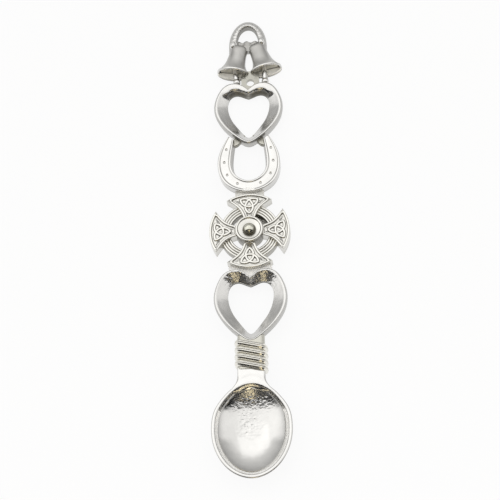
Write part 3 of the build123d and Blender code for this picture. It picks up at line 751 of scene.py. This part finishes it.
def ball():
    degrees = np.linspace(3, 177, 60)
    angles = np.radians(degrees)
    section = np.column_stack([BALL_RADIUS * np.sin(angles), BALL_Z + BALL_RADIUS * np.cos(angles)])
    shell = Shell()
    # Painted reflection: the ball's lower half is darkened, fading in between 34 and 58 degrees from its top
    shell.grid(lathe(section, BALL_COUNT), np.repeat(0.97 * smooth(34, 58, degrees), BALL_COUNT))
    shell.make("boss_ball", material=BALL_PEWTER, sharp=80)


boss()
ball()

# Horseshoe, in shares of half the width and of the length, from the toe to a heel
SHOE_OUTER = [(0.0, 0.0), (0.45, 0.045), (0.83, 0.2), (1.0, 0.485), (0.965, 0.66), (0.66, 1.0)]
SHOE_INNER = [(0.0, 0.0), (0.6, 0.085), (0.91, 0.23), (1.0, 0.44), (0.955, 0.64), (0.82, 1.0)]
SHOE_TOE = CROSS_Y + 13.4
SHOE_HALF = 9.65
SHOE_LENGTH = 19.0
SHOE_INNER_HALF = 5.5
SHOE_BAND = 3.8
SHOE_COUNT = 420
HEEL_GAP = 1.2
# Share of the way from the outer to the inner edge, draft of the inner edge, height, and patina and painted
# shade: painted shade low on the outer and inner walls, patina in the grooves beside the crease
SHOE_RIM = [
    (0, 0, 0.0, 0.3), (0, 0, 1.3, 0.12), (0, 0, 2.3, 0.1), (0, 0, 2.85, 0.1), (0.01, 0, 3.03, 0.08),
    (0.03, 0, 3.12, 0.05), (0.07, 0, 3.2, 0), (0.13, 0, 3.19, 0), (0.16, 0, 3.12, 0.25),
    (0.185, 0, 3.02, 0.55), (0.22, 0, 2.98, 0.2), (0.26, 0, 2.99, 0.0),
]
SHOE_INSIDE = [
    (0.74, 0, 2.99, 0.0), (0.78, 0, 2.98, 0.2), (0.815, 0, 3.02, 0.5), (0.84, 0, 3.12, 0.2),
    (0.88, 0, 3.19, 0), (0.94, 0, 3.2, 0), (0.98, 0, 3.1, 0.1), (1, 0, 2.85, 0.4), (1, 0.25, 1.5, 0.5),
    (1, 0.5, 0.0, 0.6),
]
# The crease along the middle, where the nail holes are: its height at the sides and its rise between them
CREASE_Z = 2.99
CREASE_RISE = 0.06
# The nail holes: shares of the way from the heel to the toe, full and outer radius, depth, patina
NAILS = (0.83, 0.62, 0.41, 0.2)
NAIL_RADII = (0.2, 0.5)
NAIL_DEPTH = 0.22
NAIL_PATINA = 0.25


def shoe_line(share, draft):
    """Line round the shoe from heel to heel, cut where it reaches the upper heart."""
    points = []
    for (outer_x, outer_y), (inner_x, inner_y) in zip(SHOE_OUTER, SHOE_INNER):
        outer = np.array([outer_x * SHOE_HALF, SHOE_TOE + outer_y * SHOE_LENGTH])
        inner_length = SHOE_LENGTH - SHOE_BAND - draft
        inner_toe = SHOE_TOE + SHOE_BAND + draft
        inner = np.array([inner_x * (SHOE_INNER_HALF - draft), inner_toe + inner_y * inner_length])
        points.append(tuple(outer + (inner - outer) * share))
    line = spline(mirrored(points[::-1]), 1200)
    gap = (-HEEL_GAP, -HEEL_GAP, -HEEL_GAP)
    near_heart = inside(line, heart_line(HEART, UPPER_WIDTH, UPPER_LENGTH, UPPER_TIP, *gap))
    return evened(line[~near_heart], SHOE_COUNT)


def horseshoe():
    crease = []
    for share in np.linspace(0.28, 0.72, 22):
        crease.append((share, 0, CREASE_Z + CREASE_RISE * math.sin((share - 0.26) / 0.48 * math.pi), 0))
    half = shoe_line(0.5, 0)[: SHOE_COUNT // 2]
    nails = [half[int(share * (len(half) - 1))] for share in NAILS]
    nails += [nail * (-1, 1) for nail in nails]
    rows = []
    patina_and_shade = []
    for number, (share, draft, z, dull) in enumerate(SHOE_RIM + crease + SHOE_INSIDE):
        line = shoe_line(share, draft)
        heights = np.full(len(line), float(z))
        shade = np.full(len(line), float(dull))
        if len(SHOE_RIM) <= number < len(SHOE_RIM) + len(crease):
            for nail in nails:
                hole = 1 - smooth(*NAIL_RADII, np.sqrt(((line - nail) ** 2).sum(1)))
                heights -= NAIL_DEPTH * hole
                shade = np.maximum(shade, NAIL_PATINA * hole)
        rows.append(at_height(line, heights))
        patina_and_shade.append(shade)
    rows = np.array(rows)
    shell = Shell()
    shell.grid(rows, np.array(patina_and_shade), around=False, closed=True, caps=False)
    for heel in (0, -1):
        shell.fan(shell.add(rows[:, heel]), len(rows), rows[:, heel].mean(0))
    shell.make("horseshoe", material=PEWTER, sharp=50, weld=2e-6)


horseshoe()

# Bells
BELL_LENGTH = 9.5
BELL_RADIUS = 5
BELL_INSIDE_RADIUS = 4.2
BELL_CROWN_WALL = 1.6
BELL_AXIS_Z = 1.3
BELL_FLATTENED = 0.75
BELL_LIP_ROUND = 0.4
BELL_FLOOR = 0.9
BELL_COUNT = 96
BELLS_MEET_X = 0.4
LEFT_Y = UPPER_TOP + 4.3
RIGHT_Y = UPPER_TOP + 5.0
# Shares of the radius and of the length, from the crown to the mouth
BELL = [(0.42, 0.0), (0.52, 0.06), (0.55, 0.25), (0.57, 0.45), (0.64, 0.66), (0.8, 0.85), (1.0, 1.0)]
bell_points = [(length * BELL_LENGTH, radius * BELL_RADIUS) for radius, length in BELL]
bell_profile = spline(bell_points, 60) / (BELL_LENGTH, BELL_RADIUS)
# The last stretch before the mouth is straight
bell_profile[bell_profile[:, 0] > 0.96, 1] = 1.0
# One value of patina and painted shade for each row: crown and wall, lip, edge of the hollow, hollow
BELL_SHADE = np.concatenate([
    np.linspace(0.42, 0.3, 50), np.linspace(0.3, 0.25, 7), np.zeros(8), [0.6, 0.75, 0.6],
    np.linspace(0.05, 0.0, 56),
])
# The sill below the mouth, with a bead along its edge: inset, height, and painted shade, darker towards the
# floor
SILL_HALF = 2.1
SILL = (
    (0.0, 0.0, 0.5), (0.0, 0.65, 0.3), (0.08, 0.82, 0.1), (0.25, 0.96, 0.0), (0.45, 0.9, 0.0), (0.7, 0.8, 0.0)
)


def bell(name, x, y, tilt, lip, side):
    """tilt turns the bell, and lip its mouth, in degrees; side is -1 for the left bell, 1 for the right."""
    axis = np.array([-math.sin(math.radians(tilt)), math.cos(math.radians(tilt)), 0.0])
    crown = np.array([x, y, BELL_AXIS_Z]) + axis * BELL_LENGTH
    angles = circle(BELL_COUNT)
    cut = np.minimum if side < 0 else np.maximum

    def ring(length, radius, start, floor, along=0.0):
        slope = math.radians(tilt + (lip - tilt) * length)
        centre = crown - axis * (start + length * (BELL_LENGTH - start) + along)
        lump = 1 + 0.05 * np.sin(5 * angles + 3 * side) * math.exp(-length * 12) * (start == 0)
        wide = radius * lump * np.cos(angles)
        high = radius * lump * BELL_FLATTENED * np.sin(angles)
        return np.column_stack([
            cut(centre[0] + wide * math.cos(slope), BELLS_MEET_X),
            centre[1] + wide * math.sin(slope),
            np.maximum(centre[2] + high, floor),
        ])

    rows = [ring(length, radius * BELL_RADIUS, 0, 0) for length, radius in bell_profile]
    for turn in arc(30, 150, 5):
        radius = BELL_RADIUS - BELL_LIP_ROUND * (1 - math.cos(turn))
        rows.append(ring(1, radius, 0, 0.3, 0.32 * math.sin(turn)))
    # The hollow's pale material, painted light, begins two rows behind the lip
    hollow = len(rows) + 2
    for length, radius in bell_profile[-2::-1]:
        rows.append(ring(length, radius * BELL_INSIDE_RADIUS, BELL_CROWN_WALL, BELL_FLOOR))
    shell = Shell()
    shell.grid(rows, np.repeat(BELL_SHADE, BELL_COUNT))
    sill = []
    for inset, z, dull in SILL:
        wide, long = (BELL_RADIUS - inset) * np.cos(angles), (SILL_HALF - inset) * np.sin(angles)
        sill_x, sill_y = spun(wide, long, lip)
        sill.append(at_height(np.column_stack([cut(x + sill_x, BELLS_MEET_X), y + sill_y]), z))
    shell.grid(sill, np.repeat([dull for inset, z, dull in SILL], BELL_COUNT))
    # The hollow, its end and the sill take the pale material of painted light, but not the crown's end, whose
    # faces come between them
    walls = (BELL_COUNT * hollow, BELL_COUNT * (len(rows) - 1))
    rest = (BELL_COUNT * len(rows), len(shell.faces))
    shell.make(name, material=BELL_PEWTER, sharp=45, pale_lit=PALE_LIT_PEWTER, pale_lit_faces=(walls, rest))


bell("left_bell", x=-4.8, y=LEFT_Y, tilt=-14, lip=-8, side=-1)
bell("right_bell", x=5.7, y=RIGHT_Y, tilt=20, lip=12, side=1)

# Clappers: each stands with a ball on the heart's lobe and reaches into its bell
CLAPPER_RADIUS = 0.85
CLAPPER_BALL = 1.15
CLAPPER_FOOT_Y = UPPER_TOP + 0.7
CLAPPER_REACH = 2.2
CLAPPER_Z = 1.6


def clapper(name, foot_x, end_x, bell_y):
    foot = np.array([foot_x, CLAPPER_FOOT_Y, CLAPPER_Z])
    end = np.array([end_x, bell_y + CLAPPER_REACH, CLAPPER_Z])
    length = np.linalg.norm(end - foot)
    way = (end - foot) / length
    side = unit(np.cross(way, (0, 0, 1)))
    up = np.cross(side, way)
    section = [(CLAPPER_BALL * math.sin(turn), -CLAPPER_BALL * math.cos(turn)) for turn in arc(4, 130, 14)]
    section += [(CLAPPER_RADIUS * 1.02, at) for at in np.linspace(section[-1][1] + 0.25, length, 8)]
    for turn in arc(15, 86, 6):
        section.append((CLAPPER_RADIUS * math.cos(turn), length + CLAPPER_RADIUS * math.sin(turn)))
    angles = circle(40)
    ring = np.outer(np.cos(angles), side) + np.outer(np.sin(angles), up)
    shell = Shell()
    shell.grid([foot + way * at + ring * radius for radius, at in section])
    shell.make(name, material=PEWTER, sharp=60)


clapper("left_clapper", -3.6, -4.2, LEFT_Y)
clapper("right_clapper", 5.4, 4.9, RIGHT_Y)

# Hanging loop: a band with its ridge near the hole, a base, and the two knobs where the bells' yoke ends
LOOP_FOOT = 144.359768
LOOP_HALF = 6.0
LOOP_RISE = 8.8
HOLE_HALF = 3.3
HOLE_HEIGHT = 5.3
LOOP_TOP_BAND = 2.5
LOOP_SPRING = LOOP_FOOT + HOLE_HEIGHT + LOOP_TOP_BAND - LOOP_RISE
# The legs below the arch: how far they reach down outside and inside, and where their inner edges end
LEG_OUTER = 2.4
LEG_INNER = 3.0
LEG_INNER_HALF = 1.6
# Share of the way from the outer to the inner edge, height, and painted shade, darker down the walls towards
# the floor
LOOP_BAND = (
    (0.32, 0.0, 0.6), (0.12, 0.15, 0.5), (0.0, 0.6, 0.4), (0.0, 1.1, 0.34), (0.03, 1.5, 0.3),
    (0.09, 1.8, 0.28), (0.17, 2.05, 0.27), (0.27, 2.3, 0.26), (0.38, 2.5, 0.22), (0.5, 2.65, 0.16),
    (0.62, 2.75, 0.05), (0.73, 2.8, 0.0), (0.83, 2.76, 0.0), (0.91, 2.62, 0.1), (0.97, 2.4, 0.4),
    (1.0, 2.1, 0.6), (1.0, 0.4, 0.65), (0.94, 0.0, 0.6),
)
# Inset and height of the base
LOOP_BASE = ((0.0, 0.0), (0.0, 1.6), (0.08, 1.9), (0.25, 2.1), (0.6, 2.2), (1.3, 2.25))
LOOP_BASE_HALF = 4.2
LOOP_BASE_Y = LOOP_FOOT - 3.2
# Place, half the width, half the length and lean in degrees of each knob
KNOBS = ((-4.6, 143.3, 0.95, 1.35, -20), (4.35, 144.2, 1.0, 1.35, 25))


def loop_band():
    outer = []
    inner = []
    for share in np.linspace(0, 1, 16)[:-1]:
        outer.append((LOOP_HALF, LOOP_SPRING - LEG_OUTER * (1 - share)))
        inner_half = LEG_INNER_HALF + (HOLE_HALF - LEG_INNER_HALF) * share
        inner.append((inner_half, LOOP_FOOT - LEG_INNER * (1 - share)))
    for turn in arc(0, 90, 61):
        outer.append((LOOP_HALF * math.cos(turn), LOOP_SPRING + LOOP_RISE * math.sin(turn)))
        inner.append((HOLE_HALF * math.cos(turn), LOOP_FOOT + HOLE_HEIGHT * math.sin(turn)))
    rows = []
    for number, (start, end) in enumerate(zip(np.array(mirrored(outer)), np.array(mirrored(inner)))):
        swell = 0.02 * math.sin(number * 0.9) + 0.015 * math.sin(number * 2.3 + 1)
        row = []
        for share, z, dull in LOOP_BAND:
            row.append((*(start + (end - start) * share), z * (1 + swell * (z > 1.5))))
        rows.append(row)
    return rows


def loop_base():
    rows = []
    for inset, z in LOOP_BASE:
        row = [(-LOOP_BASE_HALF + inset, LOOP_BASE_Y, z), (LOOP_BASE_HALF - inset, LOOP_BASE_Y, z)]
        for x in np.linspace(3.7, -3.7, 40):
            y = LOOP_FOOT + 0.35 + 0.28 * math.cos(2.4 * x + 0.8) - 0.006 * x**2
            row.append((x, y - inset, z + 0.12 * (z > 1.9) * math.sin(3.3 * x + inset * 5)))
        rows.append(row)
    return rows


def knob(x, y, half_width, half_length, lean):
    angles = circle(40)
    rows = []
    for turn in arc(4, 176, 20):
        wide, long = half_width * math.sin(turn), half_length * math.sin(turn)
        knob_x, knob_y = spun(wide * np.cos(angles), long * np.sin(angles), lean)
        rows.append(at_height(np.column_stack([x + knob_x, y + knob_y]), 2.3 + 1.1 * math.cos(turn)))
    return rows


def hanging_loop():
    band = loop_band()
    shell = Shell()
    shell.grid(band, np.tile([dull for share, z, dull in LOOP_BAND], len(band)))
    shell.grid(loop_base(), 0.45)
    for place in KNOBS:
        shell.grid(knob(*place))
    shell.make("hanging_loop", material=BELL_PEWTER, sharp=50)


hanging_loop()

# Webs at the heels: each runs from the heart's flank to the horseshoe in a hollow curve. Its rows are given
# by their distance from its edge, height, and patina and painted shade, darkest at the foot of the edge
HEEL_WEB = (
    (0.08, 0.0, 0.7), (0.0, 0.2, 0.65), (0.0, 1.1, 0.5), (0.06, 1.32, 0.3), (0.2, 1.46, 0.1), (0.4, 1.5, 0.0),
    (1.0, 1.5, 0.2), (2.6, 1.5, 0.4), (2.6, 0.0, 0.4),
)
for name, sign in (("left_heel_web", -1), ("right_heel_web", 1)):
    rows = []
    for x in np.linspace(1.2, 6.7, 34):
        edge = UPPER_TIP + 1.25 - 1.75 * smooth(2.0, 5.6, x) + 0.15 * math.sin(x * 3.1)
        rows.append([(sign * x, edge + far, z) for far, z, dull in HEEL_WEB])
    shell = Shell()
    shell.grid(rows, np.tile([dull for far, z, dull in HEEL_WEB], len(rows)))
    shell.make(name, material=WEB_PEWTER, sharp=50)

# The thin webs, the post under the binding and the toe clip are kept from the frame. The toe web, the cleft
# web and the toe clip take pale materials of painted light, and the other webs and the post take darker ones
# of painted shade
KEPT = {
    "bell_web": BELL_WEB_PEWTER, "toe_web": PALE_LIT_PEWTER, "cleft_web": RIM_PEWTER, "window_web": WINDOW_PEWTER,
    "binding_post": WEB_PEWTER, "toe_clip": RIM_PEWTER,
}
for name, material in KEPT.items():
    for material_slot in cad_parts[name].material_slots:
        material_slot.link = "OBJECT"
        material_slot.material = material


# Floor: paper that the camera and the polish see as nearly even white
def paper():
    material = bpy.data.materials.new("paper")
    material.use_nodes = True
    material.node_tree.nodes.clear()
    graph = Graph(material.node_tree)
    rays = graph.add("ShaderNodeLightPath").outputs
    seen = graph.math("MAXIMUM", rays["Is Camera Ray"], rays["Is Glossy Ray"])
    seen = graph.math("MAXIMUM", seen, rays["Is Transmission Ray"])
    lit = graph.add("ShaderNodeBsdfDiffuse", {"Color": (0.86, 0.86, 0.86, 1)})
    even = graph.add("ShaderNodeEmission", {"Color": (1, 1, 1, 1), "Strength": 1.0})
    shares = {0: graph.math("MULTIPLY", seen, 0.9), 1: lit.outputs[0], 2: even.outputs[0]}
    graph.add("ShaderNodeOutputMaterial", {"Surface": graph.add("ShaderNodeMixShader", shares).outputs[0]})
    return material


floor_mesh = bpy.data.meshes.new("floor")
floor_mesh.from_pydata([(-2, -2, 0), (2, -2, 0), (2, 2, 0), (-2, 2, 0)], [], [(0, 1, 2, 3)])
floor_mesh.materials.append(paper())
floor = bpy.data.objects.new("floor", floor_mesh)
bpy.context.scene.collection.objects.link(floor)

# Light: a pale studio, grey low behind the loop's end, dark with warm spots where the photographer stands
DAYLIGHT = (1.0, 0.995, 0.985, 1)
GOLD = (1.0, 0.84, 0.52, 1)
GLOW_PLACE = (0.0, -0.72, 0.69)


def studio():
    world = bpy.data.worlds.new("studio")
    world.use_nodes = True
    graph = Graph(world.node_tree)
    place = graph.add("ShaderNodeTexCoord").outputs["Generated"]
    x, y, z = graph.add("ShaderNodeSeparateXYZ", {0: place}).outputs
    behind = graph.math("MULTIPLY", graph.ramp(y, 0.4, 0.55, 0.0, 1.0), graph.ramp(z, 0.45, 0.78, 1.0, 0.0))
    bright = graph.math("SUBTRACT", 1.2, graph.math("MULTIPLY", behind, 0.45))
    bright = graph.math("MULTIPLY", bright, graph.ramp(z, 0.1, 0.6, 0.62, 1.0))
    bright = graph.math("MULTIPLY", bright, graph.ramp(x, -0.7, 0.7, 1.1, 0.94))
    near = graph.ramp(y, -0.36, -0.22, 1.0, 0.0)
    uneven = graph.ramp(graph.noise(place, 3.0, 3.0), 0.42, 0.68, 0.0, 0.12)
    shadow = graph.math("ADD", uneven, graph.ramp(z, 0.04, 0.3, 0.8, 0.0))
    level = graph.math("MULTIPLY", bright, graph.math("SUBTRACT", 1.0, near))
    level = graph.math("ADD", level, graph.math("MULTIPLY", near, shadow))
    patch = graph.ramp(graph.distance(place, GLOW_PLACE), 0.18, 0.34, 1.0, 0.0)
    glow = graph.math("MULTIPLY", patch, graph.ramp(graph.noise(place, 26.0, 2.0), 0.47, 0.53, 0.0, 1.0))
    spots = graph.ramp(graph.noise(place, 3.4, 2.0), 0.64, 0.68, 0.0, 1.0)
    gold = graph.math("MULTIPLY", spots, graph.ramp(y, -0.52, -0.4, 1.0, 0.0))
    gold = graph.math("MAXIMUM", gold, glow)
    graph.fill(world.node_tree.nodes["Background"], {
        "Strength": graph.math("ADD", level, graph.math("MULTIPLY", gold, 2.0)),
        "Color": graph.mix(gold, DAYLIGHT, GOLD),
    })
    return world


def softbox(name, location, width, height, energy):
    """A lamp that faces the spoon."""
    data = bpy.data.lights.new(name, "AREA")
    data.shape = "RECTANGLE"
    data.size = width
    data.size_y = height
    data.energy = energy
    lamp = bpy.data.objects.new(name, data)
    lamp.location = location
    lamp.rotation_euler = (-lamp.location).to_track_quat("-Z", "Y").to_euler()
    bpy.context.scene.collection.objects.link(lamp)
    return lamp


bpy.context.scene.world = studio()
softbox("softbox", (-0.1, 0.45, 0.8), width=0.9, height=0.6, energy=0.32)
# A weak fill reaches into the bells, and isn't mirrored in the polish
fill = softbox("fill", (0.0, -0.65, 0.15), width=0.5, height=0.3, energy=2.4)
fill.visible_glossy = False

# Camera: fitted to the photograph
SENSOR_WIDTH = 36
FOCAL_PIXELS = 1979.6
PHOTO_PIXELS = 500
CAMERA_TURNS = (22.689, 5.0, -0.718)
CAMERA_DISTANCE = 0.6
LOOKED_AT = (-0.000069, -0.00355, 0.003015)
turn = Matrix.Identity(3)
for degrees, axis in zip(CAMERA_TURNS, "XYZ"):
    turn = Matrix.Rotation(math.radians(degrees), 3, axis) @ turn
camera_data = bpy.data.cameras.new("camera")
camera_data.lens = SENSOR_WIDTH * FOCAL_PIXELS / PHOTO_PIXELS
camera_data.sensor_width = SENSOR_WIDTH
camera_data.clip_start = 0.01
camera = bpy.data.objects.new("camera", camera_data)
bpy.context.scene.collection.objects.link(camera)
away = Matrix.Translation((0, 0, CAMERA_DISTANCE))
camera.matrix_world = Matrix.Translation(LOOKED_AT) @ turn.to_4x4() @ away
bpy.context.scene.camera = camera
bpy.context.scene.view_settings.view_transform = "Standard"
